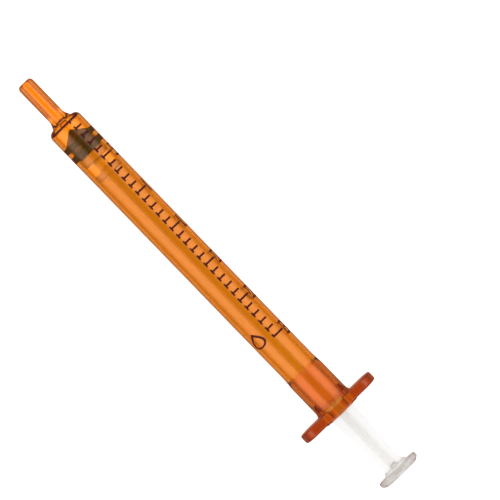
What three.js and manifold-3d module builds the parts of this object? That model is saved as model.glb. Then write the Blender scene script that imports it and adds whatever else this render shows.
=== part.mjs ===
// Oral syringe, 3 mL, in the three pieces that it is assembled from:
//   barrel       amber plastic, with the oral tip and the finger flange moulded in one
//   stopper      rubber, with two sealing ribs, a cone nose and a socket for the rod's head
//   plunger_rod  natural plastic, a cross-shaped rod with a snap-in head and a thumb rest
//
// Units are millimetres. The syringe lies along X with its tip towards +X, and stands on one
// flat of its finger flange, so +Z is up and the flange is wide along Y. Along the axis,
// every position below is a distance from the flange's back face: positive towards the tip.

import * as THREE from 'three';
import { mergeVertices } from 'three/addons/utils/BufferGeometryUtils.js';
import Module from 'manifold-3d';

const wasm = await Module();
wasm.setup();

// Fineness of the round surfaces. The bore and the stopper share it, so their facets line up.
const ROUND_SEGMENTS = 48;
const ARC_STEPS = 4;

// Barrel tube
const BORE_R = 3.75;
const BARREL_R = 4.45;
const BORE_END = 91.12;
const BORE_CORNER = 0.45;
const REAR_R = 4.66;
const REAR_TAPER_FRONT = 14.05;
const REAR_TAPER_BACK = 11.25;

// A low step near the flange stops the stopper from being pulled out.
const BACK_STOP_FRONT = 5.37;
const BACK_STOP_R = 3.63;
const BACK_STOP_RAMP = 0.15;

// Front wall, shoulder and oral tip
const SHOULDER_FACE = 92.18;
const SHOULDER_R = 2.85;
const SHOULDER_LENGTH = 1.55;
const TIP_R = 2.05;
const TIP_BASE = 94.05;
const TIP_END = 104.78;
const TIP_END_R = 1.55;
const TIP_ROUNDING = 0.95;
const CHANNEL_END_R = 1.2;
const CHANNEL_BASE_R = 1.42;
const NECK_FLARE_POWER = 1.5;

// Finger flange
const FLANGE_THICKNESS = 2.35;
const FLANGE_R = 10.85;
const FLANGE_HALF_DEPTH = 6.5;
const FLANGE_CORNER_R = 1.5;
const FLANGE_EDGE = 0.5;
const FLANGE_FILLET_LENGTH = 1.5;
const FLANGE_FILLET_HEIGHT = 0.75;
const MOUTH_LIP_R = 4.75;
const MOUTH_LIP_HEIGHT = 0.35;

// Stopper. Its ribs run in the bore with a small clearance.
const RIB_CLEARANCE = 0.03;
const RIB_R = BORE_R - RIB_CLEARANCE;
const GROOVE_R = 3.3;
const CONE_BASE_R = 3.45;
const STOPPER_APEX = 89.85;
const STOPPER_APEX_R = 0.25;
const FRONT_RIB_FRONT = 87.2;
const FRONT_RIB_BACK = 85.55;
const REAR_RIB_FRONT = 84.65;
const REAR_RIB_BACK = 83.3;
const STOPPER_BACK = 82.6;
const RIB_EDGE = 0.12;

// The snap joint between the rod's head and the stopper's socket
const HEAD_R = 2.05;
const NECK_R = 1.5;
const HEAD_FRONT = 86.2;
const HEAD_BACK = 83.75;
const HEAD_CHAMFER = 0.55;
const SOCKET_CLEARANCE = 0.15;

// Plunger rod
const RIB_THICKNESS = 1.4;
const ROD_HALF_WIDTH = 3.4;
const ROD_WAIST_HALF_WIDTH = 2.45;
const ROD_TAPER_FRONT = 1.5;
const ROD_WAIST = -16.05;
const DISC_R = 3.5;
const FRONT_DISC_FRONT = STOPPER_BACK - SOCKET_CLEARANCE;
const FRONT_DISC_BACK = 80.5;
const REAR_DISC_FRONT = 77.6;
const REAR_DISC_BACK = 76.06;
const PAD_FRONT = -17.54;
const PAD_R = 3.2;
const THUMB_FRONT = -18.13;
const THUMB_RIM_BACK = -19.2;
const THUMB_R = 5.5;
const THUMB_BACK = -19.92;
const THUMB_BOSS_R = 4.6;
const THUMB_EDGE = 0.25;

// Where the axis runs in the part's own frame: the origin is the centre of the base of the
// bounding box, so the axis stands half a flange depth above it.
const AXIS_Z = FLANGE_HALF_DEPTH;
const CENTRE_X = (TIP_END + THUMB_BACK) / 2;

/** A manifold solid from a closed three.js geometry, with its faces pointing out. */
function solidFrom(geometry) {
  geometry.deleteAttribute('normal');
  geometry.deleteAttribute('uv');
  const merged = mergeVertices(geometry, 1e-4);
  const corners = merged.index.array;
  const triangles = [];
  for (let i = 0; i < corners.length; i += 3) {
    const [a, b, c] = [corners[i], corners[i + 1], corners[i + 2]];
    if (a !== b && b !== c && c !== a) triangles.push(a, b, c);
  }
  const points = merged.attributes.position.array;
  if (signedVolume(points, triangles) < 0) triangles.reverse();
  const vertProperties = new Float32Array(points);
  const triVerts = new Uint32Array(triangles);
  return new wasm.Manifold(new wasm.Mesh({ numProp: 3, vertProperties, triVerts }));
}

/** The volume inside a closed triangle mesh, negative if its faces point in. */
function signedVolume(points, triangles) {
  const [a, b, c] = [new THREE.Vector3(), new THREE.Vector3(), new THREE.Vector3()];
  let volume = 0;
  for (let i = 0; i < triangles.length; i += 3) {
    a.fromArray(points, 3 * triangles[i]);
    b.fromArray(points, 3 * triangles[i + 1]);
    c.fromArray(points, 3 * triangles[i + 2]);
    volume += a.dot(b.cross(c)) / 6;
  }
  return volume;
}

/** A solid turned about the axis. Its outline is a list of [position along the axis, radius]. */
function turned(outline) {
  const profile = outline.map(([x, radius]) => new THREE.Vector2(radius, x));
  const geometry = new THREE.LatheGeometry(profile, ROUND_SEGMENTS);
  geometry.rotateZ(-Math.PI / 2);
  return solidFrom(geometry);
}

/** Points on a quarter of an ellipse from angle 0 to 90 degrees: x runs on cos, radius on sin. */
function quarter(x, radius, alongX, alongR, steps = ARC_STEPS) {
  const points = [];
  for (let i = 0; i <= steps; i += 1) {
    const angle = (i / steps) * (Math.PI / 2);
    points.push([x + alongX * Math.cos(angle), radius + alongR * Math.sin(angle)]);
  }
  return points;
}

/** The flare between the oral tip and the shoulder, from the tip back. */
function neckFlare() {
  const points = [];
  for (let i = 0; i <= ARC_STEPS; i += 1) {
    const share = i / ARC_STEPS;
    const x = TIP_BASE + (SHOULDER_FACE - TIP_BASE) * share;
    points.push([x, TIP_R + (SHOULDER_R - TIP_R) * share ** NECK_FLARE_POWER]);
  }
  return points;
}

/** The tube's outside, from the tip's end to the lip round the mouth, as one turned solid. */
function barrelOutside() {
  const tipRounding = quarter(TIP_END - TIP_ROUNDING, TIP_END_R, TIP_ROUNDING, TIP_R - TIP_END_R);
  const shoulder = quarter(
    SHOULDER_FACE - SHOULDER_LENGTH, SHOULDER_R, SHOULDER_LENGTH, BARREL_R - SHOULDER_R,
  );
  const filletR = REAR_R + FLANGE_FILLET_HEIGHT;
  const fillet = quarter(
    FLANGE_THICKNESS + FLANGE_FILLET_LENGTH, filletR, -FLANGE_FILLET_LENGTH, -FLANGE_FILLET_HEIGHT,
  ).reverse();
  return turned([
    [TIP_END, 0],
    ...tipRounding,
    ...neckFlare(),
    ...shoulder.slice(1),
    [REAR_TAPER_FRONT, BARREL_R],
    [REAR_TAPER_BACK, REAR_R],
    ...fillet,
    [FLANGE_THICKNESS / 2, filletR],
    [FLANGE_THICKNESS / 2, MOUTH_LIP_R],
    [-MOUTH_LIP_HEIGHT / 2, MOUTH_LIP_R],
    [-MOUTH_LIP_HEIGHT, MOUTH_LIP_R - MOUTH_LIP_HEIGHT / 2],
    [-MOUTH_LIP_HEIGHT, 0],
  ]);
}

/** The space inside the barrel: the bore, the back stop and the channel through the tip. */
function barrelInside() {
  const beyond = 1;
  const corner = quarter(
    BORE_END - BORE_CORNER, BORE_R - BORE_CORNER, BORE_CORNER, BORE_CORNER,
  );
  return turned([
    [TIP_END + beyond, 0],
    [TIP_END + beyond, CHANNEL_END_R],
    [TIP_END, CHANNEL_END_R],
    [BORE_END, CHANNEL_BASE_R],
    ...corner,
    [BACK_STOP_FRONT, BORE_R],
    [BACK_STOP_FRONT - BACK_STOP_RAMP, BACK_STOP_R],
    [-MOUTH_LIP_HEIGHT - beyond, BACK_STOP_R],
    [-MOUTH_LIP_HEIGHT - beyond, 0],
  ]);
}

/** The finger flange's outline, seen along the axis: a circle with two flats. */
function flangeOutline(inset) {
  const radius = FLANGE_R - inset;
  const halfDepth = FLANGE_HALF_DEPTH - inset;
  const cornerR = FLANGE_CORNER_R;
  const centreZ = halfDepth - cornerR;
  const centreY = Math.sqrt((radius - cornerR) ** 2 - centreZ ** 2);
  const turn = Math.atan2(centreZ, centreY);
  const shape = new THREE.Shape();
  shape.absarc(0, 0, radius, -turn, turn, false);
  shape.absarc(centreY, centreZ, cornerR, turn, Math.PI / 2, false);
  shape.absarc(-centreY, centreZ, cornerR, Math.PI / 2, Math.PI - turn, false);
  shape.absarc(0, 0, radius, Math.PI - turn, Math.PI + turn, false);
  shape.absarc(-centreY, -centreZ, cornerR, Math.PI + turn, 1.5 * Math.PI, false);
  shape.absarc(centreY, -centreZ, cornerR, 1.5 * Math.PI, 2 * Math.PI - turn, false);
  return shape;
}

/** The flange plate, with a small rounding all round both of its edges. */
function flangePlate() {
  const geometry = new THREE.ExtrudeGeometry(flangeOutline(FLANGE_EDGE), {
    depth: FLANGE_THICKNESS - 2 * FLANGE_EDGE,
    bevelThickness: FLANGE_EDGE,
    bevelSize: FLANGE_EDGE,
    bevelSegments: 3,
    curveSegments: 10,
  });
  geometry.translate(0, 0, FLANGE_EDGE);
  const outlineToAxis = new THREE.Matrix4().set(0, 0, 1, 0, 1, 0, 0, 0, 0, 1, 0, 0, 0, 0, 0, 1);
  geometry.applyMatrix4(outlineToAxis);
  return solidFrom(geometry);
}

function barrel() {
  return barrelOutside().add(flangePlate()).subtract(barrelInside());
}

/** The socket's wall: the rod's head and neck, grown by the clearance. */
function socket() {
  const gap = SOCKET_CLEARANCE;
  return turned([
    [HEAD_FRONT + gap, 0],
    [HEAD_FRONT + gap, HEAD_R - HEAD_CHAMFER + gap],
    [HEAD_FRONT - HEAD_CHAMFER + gap, HEAD_R + gap],
    [HEAD_BACK - gap, HEAD_R + gap],
    [HEAD_BACK - gap, NECK_R + gap],
    [STOPPER_BACK - 1, NECK_R + gap],
    [STOPPER_BACK - 1, 0],
  ]);
}

/** One sealing rib's outline, from its front edge to its back edge. */
function ribOutline(front, back, frontR) {
  return [
    [front, frontR],
    [front - RIB_EDGE, RIB_R],
    [back + RIB_EDGE, RIB_R],
    [back, GROOVE_R],
  ];
}

function stopper() {
  const body = turned([
    [STOPPER_APEX, 0],
    [STOPPER_APEX - STOPPER_APEX_R / 3, STOPPER_APEX_R],
    ...ribOutline(FRONT_RIB_FRONT, FRONT_RIB_BACK, CONE_BASE_R),
    ...ribOutline(REAR_RIB_FRONT, REAR_RIB_BACK, GROOVE_R),
    [STOPPER_BACK, GROOVE_R],
    [STOPPER_BACK, 0],
  ]);
  return body.subtract(socket());
}

/** The outline of one pair of the rod's ribs, seen face on: x along the axis, y across it. */
function ribPairOutline() {
  const flare = quarter(
    ROD_WAIST, PAD_R, PAD_FRONT - ROD_WAIST, ROD_WAIST_HALF_WIDTH - PAD_R,
  ).reverse();
  const buried = 0.3;
  const side = [
    [REAR_DISC_BACK + buried, ROD_HALF_WIDTH],
    [ROD_TAPER_FRONT, ROD_HALF_WIDTH],
    ...flare,
    [PAD_FRONT - buried, PAD_R],
  ];
  const shape = new THREE.Shape();
  side.forEach(([x, y], i) => (i === 0 ? shape.moveTo(x, y) : shape.lineTo(x, y)));
  side.reverse().forEach(([x, y]) => shape.lineTo(x, -y));
  return shape;
}

/** One pair of ribs on opposite sides of the rod. */
function ribPair() {
  const geometry = new THREE.ExtrudeGeometry(ribPairOutline(), {
    depth: RIB_THICKNESS,
    bevelEnabled: false,
  });
  geometry.translate(0, 0, -RIB_THICKNESS / 2);
  return geometry;
}

/** The head that snaps into the stopper, the two guide discs and the core between them. */
function rodFront() {
  return turned([
    [HEAD_FRONT, 0],
    [HEAD_FRONT, HEAD_R - HEAD_CHAMFER],
    [HEAD_FRONT - HEAD_CHAMFER, HEAD_R],
    [HEAD_BACK, HEAD_R],
    [HEAD_BACK, NECK_R],
    [FRONT_DISC_FRONT, NECK_R],
    [FRONT_DISC_FRONT, DISC_R],
    [FRONT_DISC_BACK, DISC_R],
    [FRONT_DISC_BACK, NECK_R],
    [REAR_DISC_FRONT, NECK_R],
    [REAR_DISC_FRONT, DISC_R],
    [REAR_DISC_BACK, DISC_R],
    [REAR_DISC_BACK, 0],
  ]);
}

/** The pad, the thumb rest and the raised face that the thumb presses. */
function thumbRest() {
  return turned([
    [PAD_FRONT, 0],
    [PAD_FRONT, PAD_R],
    [THUMB_FRONT, PAD_R],
    [THUMB_FRONT, THUMB_R - THUMB_EDGE],
    [THUMB_FRONT - THUMB_EDGE, THUMB_R],
    [THUMB_RIM_BACK + THUMB_EDGE, THUMB_R],
    [THUMB_RIM_BACK, THUMB_R - THUMB_EDGE],
    [THUMB_BACK + THUMB_EDGE, THUMB_BOSS_R],
    [THUMB_BACK, THUMB_BOSS_R - THUMB_EDGE],
    [THUMB_BACK, 0],
  ]);
}

function plungerRod() {
  const level = solidFrom(ribPair());
  const upright = solidFrom(ribPair().rotateX(Math.PI / 2));
  return level.add(upright).add(rodFront()).add(thumbRest());
}

const MATERIALS = {
  amber: new THREE.MeshStandardMaterial({ color: 0xe07a1e, roughness: 0.25, metalness: 0 }),
  rubber: new THREE.MeshStandardMaterial({ color: 0x3a3836, roughness: 0.7, metalness: 0 }),
  natural: new THREE.MeshStandardMaterial({ color: 0xeeecea, roughness: 0.45, metalness: 0 }),
};

/** A named mesh of a manifold solid, moved to where the part's own frame has it. */
function piece(name, solid, material) {
  const { vertProperties, triVerts } = solid.getMesh();
  const geometry = new THREE.BufferGeometry();
  geometry.setAttribute('position', new THREE.BufferAttribute(vertProperties, 3));
  geometry.setIndex(new THREE.BufferAttribute(triVerts, 1));
  geometry.translate(-CENTRE_X, 0, AXIS_Z);
  const mesh = new THREE.Mesh(geometry, material);
  mesh.name = name;
  return mesh;
}

const syringe = new THREE.Group();
syringe.add(piece('barrel', barrel(), MATERIALS.amber));
syringe.add(piece('stopper', stopper(), MATERIALS.rubber));
syringe.add(piece('plunger_rod', plungerRod(), MATERIALS.natural));

export default syringe;
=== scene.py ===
"""An amber oral syringe, 3 mL, in its three pieces: barrel, stopper and plunger rod.

Sizes are in millimetres. Along the syringe's axis, every position is a distance from the finger
flange's back face, positive towards the tip, as in the CAD source.
"""

import math

import bmesh
import bpy
import numpy as np
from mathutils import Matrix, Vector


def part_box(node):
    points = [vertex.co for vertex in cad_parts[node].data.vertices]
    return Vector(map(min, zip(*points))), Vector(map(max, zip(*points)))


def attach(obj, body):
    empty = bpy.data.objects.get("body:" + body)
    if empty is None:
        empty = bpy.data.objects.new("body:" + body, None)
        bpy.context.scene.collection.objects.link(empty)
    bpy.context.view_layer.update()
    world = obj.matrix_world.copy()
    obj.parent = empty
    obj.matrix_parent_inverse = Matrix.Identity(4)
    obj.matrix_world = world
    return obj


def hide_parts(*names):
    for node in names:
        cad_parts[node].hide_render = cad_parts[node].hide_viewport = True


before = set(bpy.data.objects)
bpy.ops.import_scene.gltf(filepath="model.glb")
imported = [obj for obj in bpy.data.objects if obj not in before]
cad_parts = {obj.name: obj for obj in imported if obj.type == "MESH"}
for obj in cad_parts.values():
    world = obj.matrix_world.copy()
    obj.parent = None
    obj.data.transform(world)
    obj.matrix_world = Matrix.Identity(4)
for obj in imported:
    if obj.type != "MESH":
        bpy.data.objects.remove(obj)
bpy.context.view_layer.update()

MM = 0.001

# Barrel tube
BORE_R = 3.75
BARREL_R = 4.45
BORE_END = 91.12
BORE_CORNER = 0.45
REAR_R = 4.66
REAR_TAPER_FRONT = 14.05
REAR_TAPER_BACK = 11.25
PARTING_LINE = 12.98
PARTING_WIDTH = 0.24
PARTING_DEPTH = 0.08
BACK_STOP_FRONT = 5.37
BACK_STOP_R = 3.63
BACK_STOP_RAMP = 0.4

# Front wall, shoulder and oral tip
SHOULDER_FACE = 92.18
SHOULDER_R = 2.85
SHOULDER_LENGTH = 1.55
TIP_R = 2.05
TIP_BASE = 94.05
TIP_END = 104.78
TIP_END_R = 1.4
TIP_ROUNDING = 1.05
CHANNEL_END_R = 1.2
CHANNEL_BASE_R = 1.42
CHANNEL_EDGE = 0.12
NECK_FLARE_POWER = 1.5

# Finger flange, a disc with two flats
FLANGE_THICKNESS = 2.35
FLANGE_R = 10.85
FLANGE_HALF_DEPTH = 6.5
FLANGE_CORNER_R = 2.0
FLANGE_EDGE = 0.5
FILLET_LENGTH = 1.5
FILLET_HEIGHT = 0.75
MOUTH_LIP_R = 4.75
MOUTH_LIP_HEIGHT = 0.35
MOUTH_LIP_EDGE = 0.15
MOUTH_LIP_ROOT = 0.1
MOUTH_LIP_MARGIN = 0.3
MOUTH_LEAD_IN = 0.2

# Stopper. Its ribs press into the bore's wall by a hair, as rubber does.
RIB_SQUEEZE = 0.02
RIB_R = BORE_R + RIB_SQUEEZE
GROOVE_R = 3.3
CONE_BASE_R = 3.45
STOPPER_APEX = 89.85
FRONT_RIB_FRONT = 87.2
FRONT_RIB_BACK = 85.55
REAR_RIB_FRONT = 84.65
REAR_RIB_BACK = 82.85
STOPPER_BACK = 82.6
RIB_EDGE = 0.18
NOSE_LENGTH = 0.08
NOSE_R = 0.25
NOSE_EDGE = 0.1
CONE_ROOT = 0.06
TAIL_ROOT = 0.1
TAIL_EDGE = 0.15

# The snap joint between the rod's head and the stopper's socket
HEAD_R = 2.05
NECK_R = 1.5
HEAD_FRONT = 86.2
HEAD_BACK = 83.75
HEAD_CHAMFER = 0.55
HEAD_EDGE = 0.12
NECK_ROOT = 0.15
SOCKET_CLEARANCE = 0.15
SOCKET_EDGE = 0.1

# Plunger rod
RIB_HALF_THICKNESS = 0.7
ROD_HALF_WIDTH = 3.4
ROD_WAIST_HALF_WIDTH = 2.45
ROD_TAPER_FRONT = 1.5
ROD_WAIST = -16.05
DISC_R = 3.5
DISC_EDGE = 0.2
DISC_ROOT = 0.3
FRONT_DISC_FRONT = STOPPER_BACK - SOCKET_CLEARANCE
FRONT_DISC_BACK = 80.5
REAR_DISC_FRONT = 77.6
REAR_DISC_BACK = 76.06
PAD_FRONT = -17.54
PAD_R = 3.2
PAD_EDGE = 0.15
PAD_ROOT = 0.2
THUMB_FRONT = -18.13
THUMB_RIM_BACK = -19.2
THUMB_R = 5.5
THUMB_BACK = -19.92
THUMB_BOSS_R = 4.6
THUMB_EDGE = 0.25

# Printed scale
SCALE_ZERO = 91.05
SCALE_PITCH = 2.2635
SCALE_LINES = 31
SCALE_TWIST = 0.1
LINES_PER_NUMERAL = 5
INK_SUNK = 0.01
INK_PROUD = 0.02
STROKE = 0.48
FOOT_LENGTH = 1.35
FOOT_THICKNESS = 0.42
FOOT_ANGLE = 15
MINOR_ANGLE = 43
MAJOR_ANGLE = 60
NUMERAL_ANGLE = 62
NUMERAL_HEIGHT = 3.9
FONT_NUMERAL_SHARE = 0.7
FONT_CURVE_STEPS = 6

# The barrel's ends and axis in the row's frame
barrel_low, barrel_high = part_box("barrel")
AXIS_Z = (barrel_low.z + barrel_high.z) / 2
FLANGE_BACK_X = barrel_low.x + MOUTH_LIP_HEIGHT * MM


def row_point(axial, y, z):
    """A point of the row's frame, in metres, from millimetres about the syringe's axis."""
    return FLANGE_BACK_X + axial * MM, y * MM, AXIS_Z + z * MM


# ---------------------------------------------------------------- materials


def new_material(name):
    """A new material and its Principled shader."""
    made = bpy.data.materials.new(name)
    made.use_nodes = True
    return made, made.node_tree.nodes["Principled BSDF"]


def feed(owner, socket, value):
    """Links the socket to another one, or sets its value. The owner is a material or world."""
    if isinstance(value, bpy.types.NodeSocket):
        owner.node_tree.links.new(value, socket)
    else:
        socket.default_value = value


def feed_all(owner, node, **inputs):
    """Feeds a node's inputs by socket name, with _ for a space."""
    for key, value in inputs.items():
        feed(owner, node.inputs[key.replace("_", " ")], value)


def add_node(owner, kind, **inputs):
    """A node of that kind, with its inputs fed."""
    node = owner.node_tree.nodes.new(kind)
    feed_all(owner, node, **inputs)
    return node


def math_node(owner, operation, *values):
    """The result of a math node on one or two values or sockets."""
    node = add_node(owner, "ShaderNodeMath")
    node.operation = operation
    for socket, value in zip(node.inputs, values):
        feed(owner, socket, value)
    return node.outputs[0]


def noise(material, feature_mm, detail=2.0):
    """Noise in the piece's own space, with features about that many millimetres across."""
    place = add_node(material, "ShaderNodeTexCoord").outputs["Object"]
    scale = 1 / (feature_mm * MM)
    made = add_node(material, "ShaderNodeTexNoise", Vector=place, Scale=scale, Detail=detail)
    return made.outputs["Fac"]


# Noise mostly stays between these two values.
NOISE_SPAN = (0.3, 0.7)
UNIT_SPAN = (0.0, 1.0)


def stretched(owner, factor, span, onto=UNIT_SPAN):
    """The factor, with its span stretched onto another one and clamped there."""
    node = add_node(owner, "ShaderNodeMapRange", Value=factor)
    feed_all(owner, node, From_Min=span[0], From_Max=span[1], To_Min=onto[0], To_Max=onto[1])
    return node.outputs["Result"]


def blend_colours(owner, factor, first, second):
    """A colour between first and second, which are colours or sockets, by the factor."""
    node = add_node(owner, "ShaderNodeMix")
    node.data_type = "RGBA"
    feed(owner, node.inputs["Factor"], factor)
    sockets = [socket for socket in node.inputs if socket.type == "RGBA"]
    for socket, colour in zip(sockets, (first, second)):
        is_socket = isinstance(colour, bpy.types.NodeSocket)
        feed(owner, socket, colour if is_socket else (*colour, 1))
    return next(socket for socket in node.outputs if socket.type == "RGBA")


def bump(material, height, depth_mm, strength):
    """A normal from a height that varies by that many millimetres."""
    depth = depth_mm * MM
    made = add_node(material, "ShaderNodeBump", Height=height, Distance=depth, Strength=strength)
    return made.outputs["Normal"]


def absorb(material, per_mm):
    """Fills the material with clear colour: how much of each channel is absorbed in a millimetre."""
    density = max(per_mm)
    colour = (*(1 - amount / density for amount in per_mm), 1)
    volume = add_node(material, "ShaderNodeVolumeAbsorption", Color=colour, Density=density / MM)
    output = material.node_tree.nodes["Material Output"]
    feed_all(material, output, Volume=volume.outputs["Volume"])


# Amber tints seen face on, from the tip back to the flange's wings beside the bore. Light that
# crosses more surfaces comes out deeper. Behind the parting line the tint is deeper, partly for the
# thicker wall and partly as painted shade from the flange.
TIP_TINT = (1.0, 0.50, 0.03)
TUBE_TINTS = ((1.0, 0.56, 0.05), (1.0, 0.53, 0.03))
REAR_WALL_AND_SHADE_TINT = (1.0, 0.45, 0.05)
MOUTH_TINT = (1.0, 0.55, 0.12)
WING_TINT = (0.74, 0.26, 0.17)

# Painted shade: darker amber where the surface turns away from the view, paler at the neck and
# deepest behind the parting line
PAINTED_EDGE_SHADE = (0.35, 0.08, 0.06)
PAINTED_NECK_EDGE_SHADE = (0.80, 0.30, 0.16)
PAINTED_REAR_EDGE_SHADE = (0.22, 0.04, 0.03)

# Where along the axis one tint passes into the next, and how far off the axis the wings begin
NECK_SPAN = (SHOULDER_FACE, TIP_BASE)
TIP_SPAN = (TIP_BASE + 0.4, TIP_BASE + 1.4)
REAR_SPAN = (PARTING_LINE + 0.1, PARTING_LINE - 0.1)
FLANGE_SPAN = (FLANGE_THICKNESS + 0.5, FLANGE_THICKNESS)
WING_SPAN = (BORE_R, BORE_R + 0.8)

# How far the surface has turned away from the view, from 0 to 1, where the painted edge shade starts
# and is full.
# The neck and the thick wall behind the parting line add to the turn, so the painted shade starts
# sooner there. The solid flange takes some off.
EDGE_SHADE_TURN = (0.34, 0.51)
ADDED_SHADE_TURNS = ((NECK_SPAN, 0.22), (REAR_SPAN, 0.085), (FLANGE_SPAN, -0.15))


def past(material, along, span, amount=1.0):
    """0 up to a span of the axis, rising or falling through it to the amount, and held there."""
    ends = [row_point(axial, 0, 0)[0] for axial in span]
    return stretched(material, along, ends, (0.0, amount))


def amber_plastic():
    """Clear amber polypropylene, moulded: glossy, with a faint orange-peel wave.

    Its colour is in its depth. Where the surface turns away from the view, the colour is darkened as
    painted shade. Behind the parting line the tint is deeper, partly for the thicker wall and partly
    as painted shade from the flange.
    """
    made, shader = new_material("amber_plastic")
    wave = noise(made, feature_mm=3.0)
    grain = noise(made, feature_mm=0.25)
    place = add_node(made, "ShaderNodeTexCoord").outputs["Object"]
    axes = add_node(made, "ShaderNodeSeparateXYZ", Vector=place).outputs
    in_neck = past(made, axes["X"], NECK_SPAN)
    in_tip = past(made, axes["X"], TIP_SPAN)
    in_rear = past(made, axes["X"], REAR_SPAN)
    in_flange = past(made, axes["X"], FLANGE_SPAN)
    across = math_node(made, "ABSOLUTE", axes["Y"])
    off_bore = stretched(made, across, [distance * MM for distance in WING_SPAN])
    in_wing = math_node(made, "MULTIPLY", in_flange, off_bore)

    clear = blend_colours(made, wave, *TUBE_TINTS)
    # Behind the parting line: deeper amber, partly for the thicker wall and partly painted shade
    # from the flange
    clear = blend_colours(made, in_rear, clear, REAR_WALL_AND_SHADE_TINT)
    clear = blend_colours(made, in_flange, clear, MOUTH_TINT)
    clear = blend_colours(made, in_wing, clear, WING_TINT)
    clear = blend_colours(made, in_neck, clear, TIP_TINT)

    # Painted shade for the edges: darkest behind the parting line, paler at the neck
    edge_shade = blend_colours(made, in_rear, PAINTED_EDGE_SHADE, PAINTED_REAR_EDGE_SHADE)
    edge_shade = blend_colours(made, in_neck, edge_shade, PAINTED_NECK_EDGE_SHADE)
    edge_shade = blend_colours(made, in_tip, edge_shade, PAINTED_EDGE_SHADE)

    # How far the surface turns from the view sets where the painted edge shade lies
    edge_shade_turn = add_node(made, "ShaderNodeLayerWeight", Blend=0.5).outputs["Facing"]
    for span, amount in ADDED_SHADE_TURNS:
        edge_shade_turn = math_node(made, "ADD", edge_shade_turn, past(made, axes["X"], span, amount))
    tint = blend_colours(made, stretched(made, edge_shade_turn, EDGE_SHADE_TURN), clear, edge_shade)

    roughness = stretched(made, grain, NOISE_SPAN, (0.06, 0.10))
    normal = bump(made, wave, depth_mm=0.01, strength=0.5)
    feed_all(made, shader, Base_Color=tint, Roughness=roughness, Normal=normal, IOR=1.45)
    feed_all(made, shader, Specular_Tint=(1.0, 0.70, 0.60, 1), Transmission_Weight=0.985)
    absorb(made, per_mm=(0.06, 0.15, 0.35))
    return made


def natural_plastic():
    """Uncoloured polypropylene: milky white, letting light through softly."""
    made, shader = new_material("natural_plastic")
    cloud = noise(made, feature_mm=2.5)
    grain = noise(made, feature_mm=0.12)
    tint = blend_colours(made, cloud, (0.82, 0.817, 0.814), (0.86, 0.857, 0.854))
    roughness = stretched(made, grain, NOISE_SPAN, (0.24, 0.34))
    normal = bump(made, grain, depth_mm=0.004, strength=0.5)
    feed_all(made, shader, Base_Color=tint, Roughness=roughness, Normal=normal)
    feed_all(made, shader, IOR=1.49, Transmission_Weight=0.97)
    absorb(made, per_mm=(0.033, 0.037, 0.042))
    return made


def stopper_rubber():
    """Dark grey moulded rubber with a fine dry grain."""
    made, shader = new_material("stopper_rubber")
    cloud = noise(made, feature_mm=1.2)
    grain = noise(made, feature_mm=0.06, detail=4.0)
    tint = blend_colours(made, cloud, (0.035, 0.032, 0.032), (0.055, 0.051, 0.050))
    roughness = stretched(made, grain, NOISE_SPAN, (0.45, 0.65))
    normal = bump(made, grain, depth_mm=0.008, strength=0.6)
    feed_all(made, shader, Base_Color=tint, Roughness=roughness, Normal=normal)
    return made


def scale_ink():
    """Screen-printed dark ink, a little uneven in its cover."""
    made, shader = new_material("scale_ink")
    cover = noise(made, feature_mm=0.15, detail=3.0)
    tint = blend_colours(made, cover, (0.040, 0.004, 0.004), (0.075, 0.008, 0.006))
    roughness = stretched(made, cover, NOISE_SPAN, (0.5, 0.7))
    feed_all(made, shader, Base_Color=tint, Roughness=roughness, Specular_IOR_Level=0.1)
    return made


AMBER = amber_plastic()
NATURAL = natural_plastic()
RUBBER = stopper_rubber()
INK = scale_ink()


# ------------------------------------------------------------------- meshes

SHARP_ANGLE = math.radians(32)


def signed_volume(points, faces):
    """The volume inside a closed mesh, negative if its faces point in."""
    total = 0.0
    for face in faces:
        for second, third in zip(face[1:], face[2:]):
            total += np.dot(points[face[0]], np.cross(points[second], points[third]))
    return total / 6


def add_piece(name, mesh, material, body):
    """Puts a mesh in the scene as a piece that rides on a CAD body."""
    mesh.shade_smooth()
    mesh.set_sharp_from_angle(angle=SHARP_ANGLE)
    mesh.materials.append(material)
    piece = bpy.data.objects.new(name, mesh)
    bpy.context.scene.collection.objects.link(piece)
    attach(piece, body)
    return piece


def loft(name, rings, looped=False):
    """A closed mesh through rings of points (axial, y, z). A ring of one point is a pole."""
    starts = np.cumsum([0] + [len(points) for points in rings])
    points = np.concatenate(rings)
    pairs = [(i, i + 1) for i in range(len(rings) - 1)]
    if looped:
        pairs.append((len(rings) - 1, 0))
    faces = []
    for first, second in pairs:
        a, b = starts[first], starts[second]
        count = max(len(rings[first]), len(rings[second]))
        for i in range(count):
            j = (i + 1) % count
            if len(rings[first]) == 1:
                faces.append((a, b + j, b + i))
            elif len(rings[second]) == 1:
                faces.append((a + i, a + j, b))
            else:
                faces.append((a + i, a + j, b + j, b + i))
    if signed_volume(points, faces) < 0:
        faces = [face[::-1] for face in faces]
    mesh = bpy.data.meshes.new(name)
    mesh.from_pydata([row_point(*p) for p in points], [], [[int(i) for i in f] for f in faces])
    return mesh


def ring(axial, radii, angles):
    """Points round the axis at those angles: one radius for all of them, or one for each."""
    radii = np.broadcast_to(radii, angles.shape)
    if not radii.any():
        return np.array([[axial, 0.0, 0.0]])
    places = np.full(angles.shape, axial)
    return np.stack([places, radii * np.cos(angles), radii * np.sin(angles)], axis=1)


def arc(axial, radius, along_axis, along_radius, steps=6):
    """Outline points on a quarter ellipse, from the one along the axis to the one along radius."""
    turns = np.linspace(0, math.pi / 2, steps + 1)
    return [(axial + along_axis * math.cos(a), radius + along_radius * math.sin(a)) for a in turns]


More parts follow.
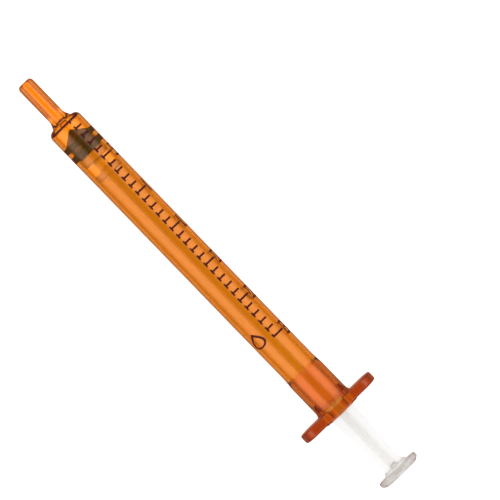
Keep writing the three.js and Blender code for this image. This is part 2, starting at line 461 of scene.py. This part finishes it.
def rounded(corners, steps=3):
    """Outline points (axial, radius) from corners (axial, radius, rounding)."""
    places = [np.array(corner[:2], float) for corner in corners]
    points = [tuple(places[0])]
    for i in range(1, len(corners) - 1):
        rounding = corners[i][2]
        if rounding == 0:
            points.append(tuple(places[i]))
            continue
        back = places[i - 1] - places[i]
        on = places[i + 1] - places[i]
        back = back / np.linalg.norm(back)
        on = on / np.linalg.norm(on)
        half = math.acos(np.dot(back, on)) / 2
        middle = back + on
        centre = places[i] + middle / np.linalg.norm(middle) * rounding / math.sin(half)
        start = places[i] + back * rounding / math.tan(half) - centre
        end = places[i] + on * rounding / math.tan(half) - centre
        sweep = math.pi - 2 * half
        for share in np.linspace(0, 1, steps + 1):
            towards = math.sin((1 - share) * sweep) * start + math.sin(share * sweep) * end
            points.append(tuple(centre + towards / math.sin(sweep)))
    points.append(tuple(places[-1]))
    return points


def evenly(start, end, radius_start, radius_end, spacing):
    """Outline points between two places, both left out, at about that spacing."""
    count = max(1, round(abs(end - start) / spacing))
    places = np.linspace(start, end, count + 1)
    radii = np.linspace(radius_start, radius_end, count + 1)
    return list(zip(places, radii))[1:-1]


# ------------------------------------------------------------------- barrel

BARREL_SIDES = 256
BARREL_RING_SPACING = 4.0
FINE_RING_SPACING = 2.0
NECK_FLARE_STEPS = 8
FLANGE_RIM_STEPS = 5
FLANGE_FRONT_SHARES = (0.35, 0.7)
FLANGE_BACK_SHARES = (0.3, 0.65)


def flange_radii(inset, angles):
    """The flange outline's distance from the axis at each angle: a circle with two flats."""
    circle_r = FLANGE_R - inset
    half_depth = FLANGE_HALF_DEPTH - inset
    corner_r = FLANGE_CORNER_R - inset
    corner_z = FLANGE_HALF_DEPTH - FLANGE_CORNER_R
    corner_y = math.sqrt((FLANGE_R - FLANGE_CORNER_R) ** 2 - corner_z**2)
    corner_start = math.atan2(corner_z, corner_y)
    corner_end = math.atan2(half_depth, corner_y)
    radii = []
    for angle in angles:
        y = abs(math.cos(angle))
        z = abs(math.sin(angle))
        turn = math.atan2(z, y)
        if turn <= corner_start:
            radii.append(circle_r)
        elif turn >= corner_end:
            radii.append(half_depth / z)
        else:
            along = corner_y * y + corner_z * z
            off = corner_y**2 + corner_z**2 - along**2
            radii.append(along + math.sqrt(corner_r**2 - off))
    return np.array(radii)


def barrel_front_outline():
    """The tube's outside, from the tip's end face back to the fillet at the flange."""
    flare = []
    for i in range(NECK_FLARE_STEPS + 1):
        share = i / NECK_FLARE_STEPS
        radius = TIP_R + (SHOULDER_R - TIP_R) * share**NECK_FLARE_POWER
        flare.append((TIP_BASE + (SHOULDER_FACE - TIP_BASE) * share, radius))
    tip_side = TIP_END - TIP_ROUNDING
    shoulder_back = SHOULDER_FACE - SHOULDER_LENGTH
    fillet_top = FLANGE_THICKNESS + FILLET_LENGTH
    taper_share = (REAR_TAPER_FRONT - PARTING_LINE) / (REAR_TAPER_FRONT - REAR_TAPER_BACK)
    parting_r = BARREL_R + (REAR_R - BARREL_R) * taper_share
    return [
        (TIP_END, (CHANNEL_END_R + TIP_END_R) / 2),
        *arc(tip_side, TIP_END_R, TIP_ROUNDING, TIP_R - TIP_END_R, steps=8),
        *evenly(tip_side, TIP_BASE, TIP_R, TIP_R, FINE_RING_SPACING),
        *flare,
        *arc(shoulder_back, SHOULDER_R, SHOULDER_LENGTH, BARREL_R - SHOULDER_R, steps=12)[1:],
        *evenly(shoulder_back, REAR_TAPER_FRONT, BARREL_R, BARREL_R, BARREL_RING_SPACING),
        (REAR_TAPER_FRONT, BARREL_R),
        (PARTING_LINE + PARTING_WIDTH / 2, parting_r),
        (PARTING_LINE, parting_r - PARTING_DEPTH),
        (PARTING_LINE - PARTING_WIDTH / 2, parting_r),
        (REAR_TAPER_BACK, REAR_R),
        *evenly(REAR_TAPER_BACK, fillet_top, REAR_R, REAR_R, FINE_RING_SPACING),
        *arc(fillet_top, REAR_R + FILLET_HEIGHT, -FILLET_LENGTH, -FILLET_HEIGHT, steps=8)[::-1],
    ]


def flange_rings(angles):
    """The flange's front face, rounded rim and back face."""
    rings = []
    front_r = REAR_R + FILLET_HEIGHT
    face_edge = flange_radii(FLANGE_EDGE, angles)
    for share in FLANGE_FRONT_SHARES:
        rings.append(ring(FLANGE_THICKNESS, front_r + (face_edge - front_r) * share, angles))
    turns = np.linspace(0, math.pi / 2, FLANGE_RIM_STEPS + 1)
    for turn in turns:
        inset = FLANGE_EDGE * (1 - math.sin(turn))
        axial = FLANGE_THICKNESS - FLANGE_EDGE * (1 - math.cos(turn))
        rings.append(ring(axial, flange_radii(inset, angles), angles))
    for turn in turns[::-1]:
        inset = FLANGE_EDGE * (1 - math.sin(turn))
        axial = FLANGE_EDGE * (1 - math.cos(turn))
        rings.append(ring(axial, flange_radii(inset, angles), angles))
    for share in FLANGE_BACK_SHARES:
        rings.append(ring(0, face_edge + (MOUTH_LIP_R - face_edge) * share, angles))
    return rings


def barrel_back_outline():
    """From the flange's back face over the mouth's lip, through the bore, to the tip's end."""
    bore_back = BORE_END - BORE_CORNER
    stop_top = BACK_STOP_FRONT - BACK_STOP_RAMP
    mouth = rounded(
        [
            (0, MOUTH_LIP_R + MOUTH_LIP_MARGIN, 0),
            (0, MOUTH_LIP_R, MOUTH_LIP_ROOT),
            (-MOUTH_LIP_HEIGHT, MOUTH_LIP_R, MOUTH_LIP_EDGE),
            (-MOUTH_LIP_HEIGHT, BACK_STOP_R, MOUTH_LEAD_IN),
            (stop_top, BACK_STOP_R, 0),
            (BACK_STOP_FRONT, BORE_R, 0),
        ]
    )
    channel = rounded(
        [
            (BORE_END, BORE_R - BORE_CORNER, 0),
            (BORE_END, CHANNEL_BASE_R, CHANNEL_EDGE),
            (TIP_END, CHANNEL_END_R, CHANNEL_EDGE),
            (TIP_END, (CHANNEL_END_R + TIP_END_R) / 2, 0),
        ]
    )
    return [
        *mouth,
        *evenly(BACK_STOP_FRONT, bore_back, BORE_R, BORE_R, BARREL_RING_SPACING),
        *arc(bore_back, BORE_R - BORE_CORNER, BORE_CORNER, BORE_CORNER, steps=5)[::-1],
        *channel[1:-1],
    ]


def barrel_mesh():
    """One closed shell: outside, flange and bore."""
    angles = np.linspace(0, 2 * math.pi, BARREL_SIDES, endpoint=False)
    front = [ring(x, r, angles) for x, r in barrel_front_outline()]
    back = [ring(x, r, angles) for x, r in barrel_back_outline()]
    return loft("barrel_shell", front + flange_rings(angles) + back, looped=True)


barrel = add_piece("barrel_shell", barrel_mesh(), AMBER, "barrel")
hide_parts("barrel")


# ------------------------------------------------------------------ stopper

STOPPER_SIDES = 160


def stopper_mesh():
    """Turned rubber: cone nose, two sealing ribs, and the socket for the rod's head."""
    gap = SOCKET_CLEARANCE
    outline = rounded(
        [
            (STOPPER_APEX, 0, 0),
            (STOPPER_APEX - NOSE_LENGTH, NOSE_R, NOSE_EDGE),
            (FRONT_RIB_FRONT, CONE_BASE_R, CONE_ROOT),
            (FRONT_RIB_FRONT, RIB_R, RIB_EDGE),
            (FRONT_RIB_BACK, RIB_R, RIB_EDGE),
            (FRONT_RIB_BACK, GROOVE_R, RIB_EDGE),
            (REAR_RIB_FRONT, GROOVE_R, RIB_EDGE),
            (REAR_RIB_FRONT, RIB_R, RIB_EDGE),
            (REAR_RIB_BACK, RIB_R, RIB_EDGE),
            (REAR_RIB_BACK, GROOVE_R, TAIL_ROOT),
            (STOPPER_BACK, GROOVE_R, TAIL_EDGE),
            (STOPPER_BACK, NECK_R + gap, TAIL_EDGE),
            (HEAD_BACK - gap, NECK_R + gap, SOCKET_EDGE),
            (HEAD_BACK - gap, HEAD_R + gap, SOCKET_EDGE),
            (HEAD_FRONT - HEAD_CHAMFER + gap, HEAD_R + gap, SOCKET_EDGE),
            (HEAD_FRONT + gap, HEAD_R - HEAD_CHAMFER + gap, SOCKET_EDGE),
            (HEAD_FRONT + gap, 0, 0),
        ]
    )
    angles = np.linspace(0, 2 * math.pi, STOPPER_SIDES, endpoint=False)
    return loft("stopper_rubber", [ring(x, r, angles) for x, r in outline])


stopper = add_piece("stopper_body", stopper_mesh(), RUBBER, "stopper")
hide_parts("stopper")


# -------------------------------------------------------------- plunger rod

ROD_CORNER_R = 0.25
ROD_ROOT_R = 0.35
ROD_CORNER_POINTS = 5
ROD_ROOT_POINTS = 4
ROD_SIDE_POINTS = 8
ROD_RING_SPACING = 4.0
ROD_TAPER_SPACING = 2.0


def cross_points(half_width):
    """The rod's cross-shaped section as points (y, z), with rounded rib edges and roots."""
    thick = RIB_HALF_THICKNESS
    edge_y = half_width - ROD_CORNER_R
    edge_z = thick - ROD_CORNER_R
    root = thick + ROD_ROOT_R
    half_arm = [(half_width, 0), (half_width, edge_z / 2)]
    for turn in np.linspace(0, math.pi / 2, ROD_CORNER_POINTS):
        y = edge_y + ROD_CORNER_R * math.cos(turn)
        z = edge_z + ROD_CORNER_R * math.sin(turn)
        half_arm.append((y, z))
    outer_turn = math.atan2(thick, edge_y)
    inner_turn = math.atan2(thick, root)
    for turn in np.linspace(outer_turn, inner_turn, ROD_SIDE_POINTS)[1:-1]:
        half_arm.append((thick / math.tan(turn), thick))
    for turn in np.linspace(-math.pi / 2, -0.75 * math.pi, ROD_ROOT_POINTS):
        y = root + ROD_ROOT_R * math.cos(turn)
        z = root + ROD_ROOT_R * math.sin(turn)
        half_arm.append((y, z))
    other_half = [(z, y) for y, z in half_arm[-2:0:-1]]
    quarter = half_arm + other_half
    points = list(quarter)
    for _ in range(3):
        quarter = [(-z, y) for y, z in quarter]
        points += quarter
    return np.array(points)


def cross_ring(axial, half_width):
    """The cross-shaped section as a ring of points at a place on the axis."""
    section = cross_points(half_width)
    return np.column_stack([np.full(len(section), axial), section])


def rod_mesh():
    """One lofted solid: snap head, two guide discs, the cross-shaped rod, pad and thumb rest."""
    section = cross_points(ROD_HALF_WIDTH)
    angles = np.arctan2(section[:, 1], section[:, 0])
    front = rounded(
        [
            (HEAD_FRONT, 0, 0),
            (HEAD_FRONT, HEAD_R - HEAD_CHAMFER, HEAD_EDGE),
            (HEAD_FRONT - HEAD_CHAMFER, HEAD_R, HEAD_EDGE),
            (HEAD_BACK, HEAD_R, HEAD_EDGE),
            (HEAD_BACK, NECK_R, HEAD_EDGE),
            (FRONT_DISC_FRONT, NECK_R, NECK_ROOT),
            (FRONT_DISC_FRONT, DISC_R, DISC_EDGE),
            (FRONT_DISC_BACK, DISC_R, DISC_EDGE),
            (FRONT_DISC_BACK, NECK_R, DISC_ROOT),
            (REAR_DISC_FRONT, NECK_R, DISC_ROOT),
            (REAR_DISC_FRONT, DISC_R, DISC_EDGE),
            (REAR_DISC_BACK, DISC_R, DISC_EDGE),
            (REAR_DISC_BACK, 0, 0),
        ]
    )[:-1]
    flare = arc(ROD_WAIST, PAD_R, PAD_FRONT - ROD_WAIST, ROD_WAIST_HALF_WIDTH - PAD_R, steps=6)
    ribs = [
        (REAR_DISC_BACK, ROD_HALF_WIDTH),
        *evenly(REAR_DISC_BACK, ROD_TAPER_FRONT, ROD_HALF_WIDTH, ROD_HALF_WIDTH, ROD_RING_SPACING),
        (ROD_TAPER_FRONT, ROD_HALF_WIDTH),
        *evenly(ROD_TAPER_FRONT, ROD_WAIST, ROD_HALF_WIDTH, ROD_WAIST_HALF_WIDTH, ROD_TAPER_SPACING),
        *flare[::-1],
    ]
    back = rounded(
        [
            (PAD_FRONT, 0, 0),
            (PAD_FRONT, PAD_R, PAD_EDGE),
            (THUMB_FRONT, PAD_R, PAD_ROOT),
            (THUMB_FRONT, THUMB_R, THUMB_EDGE),
            (THUMB_RIM_BACK, THUMB_R, THUMB_EDGE),
            (THUMB_BACK, THUMB_BOSS_R, THUMB_EDGE),
            (THUMB_BACK, 0, 0),
        ]
    )[1:]
    rings = [ring(x, r, angles) for x, r in front]
    rings += [cross_ring(x, half_width) for x, half_width in ribs]
    rings += [ring(x, r, angles) for x, r in back]
    return loft("plunger_rod_body", rings)


rod = add_piece("plunger_rod_body", rod_mesh(), NATURAL, "plunger_rod")
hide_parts("plunger_rod")


# ------------------------------------------------------------ printed scale

STRIP_WIDTH = 0.2
WELD_DISTANCE = 1e-4
DROP_AXIAL = 25.05
DROP_ANGLE = 31
DROP_HALF_LENGTH = 2.1
DROP_HALF_WIDTH = 2.7
DROP_STROKE = 0.8
DROP_BELLY = 0.7
DROP_POINT = 1.3
DROP_STEPS = 64


def around(degrees):
    """Arc length on the barrel's outside, from its top line towards -Y, for an angle."""
    return math.radians(degrees) * BARREL_R


def set_order(elements, place):
    """Puts a mesh's vertices or faces in the order of their places."""
    for index, element in enumerate(sorted(elements, key=place)):
        element.index = index
    elements.sort()


def wrap_print(name, flat):
    """A thin closed print round the barrel from a flat one: x is arc length, y is axial."""
    bmesh.ops.remove_doubles(flat, verts=flat.verts[:], dist=WELD_DISTANCE)
    spans = [vertex.co.x for vertex in flat.verts]
    cuts = np.arange(min(spans) + STRIP_WIDTH, max(spans), STRIP_WIDTH)
    for place in cuts:
        geometry = flat.verts[:] + flat.edges[:] + flat.faces[:]
        bmesh.ops.bisect_plane(flat, geom=geometry, plane_co=(place, 0, 0), plane_no=(1, 0, 0))
    raised = bmesh.ops.extrude_face_region(flat, geom=flat.faces[:])["geom"]
    for element in raised:
        if isinstance(element, bmesh.types.BMVert):
            element.co.z = 1
    for vertex in flat.verts:
        turn = vertex.co.x / BARREL_R - math.radians(SCALE_TWIST * (SCALE_ZERO - vertex.co.y))
        radius = BARREL_R - INK_SUNK + (INK_SUNK + INK_PROUD) * vertex.co.z
        vertex.co = row_point(vertex.co.y, -radius * math.sin(turn), radius * math.cos(turn))
    bmesh.ops.recalc_face_normals(flat, faces=flat.faces[:])

    # The extrusion's own order differs from run to run, so the order is set here.
    set_order(flat.verts, lambda vertex: tuple(vertex.co))
    set_order(flat.faces, lambda face: tuple(face.calc_center_median()))
    mesh = bpy.data.meshes.new(name)
    flat.to_mesh(mesh)
    flat.free()
    return add_piece(name, mesh, INK, "barrel")


def add_outline(flat, outline):
    """Adds a flat face with that outline."""
    flat.faces.new([flat.verts.new((x, y, 0)) for x, y in outline])


def scale_line(axial, end_angle, foot_back, foot_front):
    """One line's outline: a stroke round the barrel with a foot along it at its inner end."""
    foot = around(FOOT_ANGLE)
    neck = foot + FOOT_THICKNESS
    end = around(end_angle)
    half = STROKE / 2
    outline = [(foot, axial - foot_back), (neck, axial - foot_back)]
    if foot_back > half:
        outline.append((neck, axial - half))
    outline += [(end, axial - half), (end, axial + half)]
    if foot_front > half:
        outline.append((neck, axial + half))
    outline += [(neck, axial + foot_front), (foot, axial + foot_front)]
    return outline


def scale_lines():
    """A line for each tenth of a millilitre, longer at each half."""
    flat = bmesh.new()
    for i in range(SCALE_LINES):
        axial = SCALE_ZERO - SCALE_PITCH * i
        end = MINOR_ANGLE if i % LINES_PER_NUMERAL else MAJOR_ANGLE
        foot_back = FOOT_LENGTH / 2 if i < SCALE_LINES - 1 else STROKE / 2
        foot_front = FOOT_LENGTH / 2 if i > 0 else STROKE / 2
        add_outline(flat, scale_line(axial, end, foot_back, foot_front))

    # The first line also runs on over the top and down the other side.
    far_end = -around(MAJOR_ANGLE)
    near_end = around(FOOT_ANGLE)
    low = SCALE_ZERO - STROKE / 2
    high = SCALE_ZERO + STROKE / 2
    add_outline(flat, [(far_end, low), (near_end, low), (near_end, high), (far_end, high)])
    return wrap_print("scale_lines", flat)


def scale_numerals():
    """The half millilitres, read with the tip up."""
    flat = bmesh.new()
    for i in range(LINES_PER_NUMERAL, SCALE_LINES, LINES_PER_NUMERAL):
        text = bpy.data.curves.new("numeral", "FONT")
        text.body = f"{i / 10:g}".removeprefix("0")
        text.size = NUMERAL_HEIGHT / FONT_NUMERAL_SHARE
        text.resolution_u = FONT_CURVE_STEPS
        shown = bpy.data.objects.new("numeral", text)
        letters = bpy.data.meshes.new_from_object(shown)
        corners = [vertex.co for vertex in letters.vertices]
        low_x = min(c.x for c in corners)
        middle_y = (min(c.y for c in corners) + max(c.y for c in corners)) / 2
        for vertex in letters.vertices:
            vertex.co.x += around(NUMERAL_ANGLE) - low_x
            vertex.co.y += SCALE_ZERO - SCALE_PITCH * i - middle_y
        flat.from_mesh(letters)
        bpy.data.objects.remove(shown)
        bpy.data.meshes.remove(letters)
        bpy.data.curves.remove(text)
    return wrap_print("scale_numerals", flat)


def droplet_mark():
    """A plain outlined drop beside the scale's last line, pointing to the tip."""
    flat = bmesh.new()
    loops = []
    for scale in (1, 1 - DROP_STROKE / DROP_HALF_WIDTH):
        points = []
        for turn in np.linspace(0, 2 * math.pi, DROP_STEPS, endpoint=False):
            across = DROP_HALF_WIDTH * math.sin(turn) * math.sin(turn / 2) ** DROP_POINT
            along = DROP_HALF_LENGTH * math.cos(turn)
            place = (across * scale - around(DROP_ANGLE), (along + DROP_BELLY) * scale - DROP_BELLY)
            points.append(flat.verts.new((place[0], DROP_AXIAL + place[1], 0)))
        loops.append(points)
    outer, inner = loops
    for i in range(DROP_STEPS):
        j = (i + 1) % DROP_STEPS
        flat.faces.new((outer[i], outer[j], inner[j], inner[i]))
    return wrap_print("droplet_mark", flat)


scale_lines()
scale_numerals()
droplet_mark()


# ------------------------------------------------------- floor, light, camera

FLOOR_HALF = 4.0
FLOOR_GLOW = 1.2
FLOOR_ALBEDO = 0.12

# The world's brightness by degrees from overhead, across the syringe, and towards its ends
SIDE_LIGHT = (
    (0, 0.01),
    (10, 0.06),
    (22, 0.45),
    (36, 1.1),
    (60, 1.1),
    (74, 0.6),
    (84, 0.15),
    (92, 0.0),
)
END_LIGHT = 0.5
BELOW_LIGHT = (0.20, 0.08, 0.05)
LIGHT_STRENGTH = 2.6

# How far a direction leans towards the ends, and how high it points, where the ends' light comes
# in. Below the last span the light is the one from below.
END_LEAN = (0.2, 0.6)
END_HEIGHT = (0.1, 0.6)
HORIZON = (-0.02, 0.08)

# Camera, in millimetres and degrees
CAMERA_LENS = 338
CAMERA_SENSOR = 36
CAMERA_X = -1.27
CAMERA_Y = -10.66
CAMERA_HEIGHT = 1077.3
CAMERA_TURN = -134.06


def floor():
    """A white floor that touches the flange's flat and the barrel's front shoulder."""
    back = FLANGE_THICKNESS - FLANGE_EDGE
    front = SHOULDER_FACE - SHOULDER_LENGTH
    gap = FLANGE_HALF_DEPTH - BARREL_R
    tilt = math.atan2(gap, front - back)
    half = FLOOR_HALF
    mesh = bpy.data.meshes.new("floor")
    corners = [(-half, -half, 0), (half, -half, 0), (half, half, 0), (-half, half, 0)]
    mesh.from_pydata(corners, [], [(0, 1, 2, 3)])
    made, shader = new_material("floor_white")
    albedo = (FLOOR_ALBEDO, FLOOR_ALBEDO, FLOOR_ALBEDO, 1)
    feed_all(made, shader, Base_Color=albedo, Roughness=1.0, Specular_IOR_Level=0.0)
    feed_all(made, shader, Emission_Color=(1, 1, 1, 1), Emission_Strength=FLOOR_GLOW)
    mesh.materials.append(made)
    plane = bpy.data.objects.new("floor", mesh)
    bpy.context.scene.collection.objects.link(plane)
    plane.location = row_point(back, 0, -FLANGE_HALF_DEPTH)
    plane.rotation_euler = (0, -tilt, 0)

    # Its white would wash out the syringe's dark edges, so reflections don't show it.
    plane.visible_glossy = False


def studio_light():
    """A soft world: a broad bright band along each side of overhead, and dimmer ends."""
    world = bpy.data.worlds.new("studio")
    bpy.context.scene.world = world
    world.use_nodes = True
    direction = add_node(world, "ShaderNodeTexCoord").outputs["Generated"]
    parts = add_node(world, "ShaderNodeSeparateXYZ", Vector=direction).outputs
    across = math_node(world, "ABSOLUTE", parts["Y"])
    turn = math_node(world, "ARCTAN2", across, parts["Z"])
    ramp = add_node(world, "ShaderNodeValToRGB", Fac=math_node(world, "DIVIDE", turn, math.pi))
    ramp.color_ramp.interpolation = "B_SPLINE"
    elements = ramp.color_ramp.elements
    while len(elements) < len(SIDE_LIGHT):
        elements.new(0.5)
    for element, (degrees, level) in zip(elements, SIDE_LIGHT):
        element.position = degrees / 180
        element.color = (level, level, level, 1)
    endwise = stretched(world, math_node(world, "ABSOLUTE", parts["X"]), END_LEAN)
    height = stretched(world, parts["Z"], END_HEIGHT)
    ends = blend_colours(world, height, (0.0, 0.0, 0.0), (END_LIGHT, END_LIGHT, END_LIGHT))
    above = blend_colours(world, endwise, ramp.outputs["Color"], ends)
    rising = stretched(world, parts["Z"], HORIZON)
    light = blend_colours(world, rising, BELOW_LIGHT, above)
    background = world.node_tree.nodes["Background"]
    feed_all(world, background, Color=light, Strength=LIGHT_STRENGTH)


def camera():
    """Straight down on the syringe, which lies from the frame's upper left to its lower right."""
    data = bpy.data.cameras.new("camera")
    data.lens = CAMERA_LENS
    data.sensor_width = CAMERA_SENSOR
    placed = bpy.data.objects.new("camera", data)
    bpy.context.scene.collection.objects.link(placed)
    placed.location = (CAMERA_X * MM, CAMERA_Y * MM, AXIS_Z + CAMERA_HEIGHT * MM)
    placed.rotation_euler = (0, 0, math.radians(CAMERA_TURN))
    bpy.context.scene.camera = placed


floor()
studio_light()
camera()
bpy.context.scene.view_settings.view_transform = "Standard"
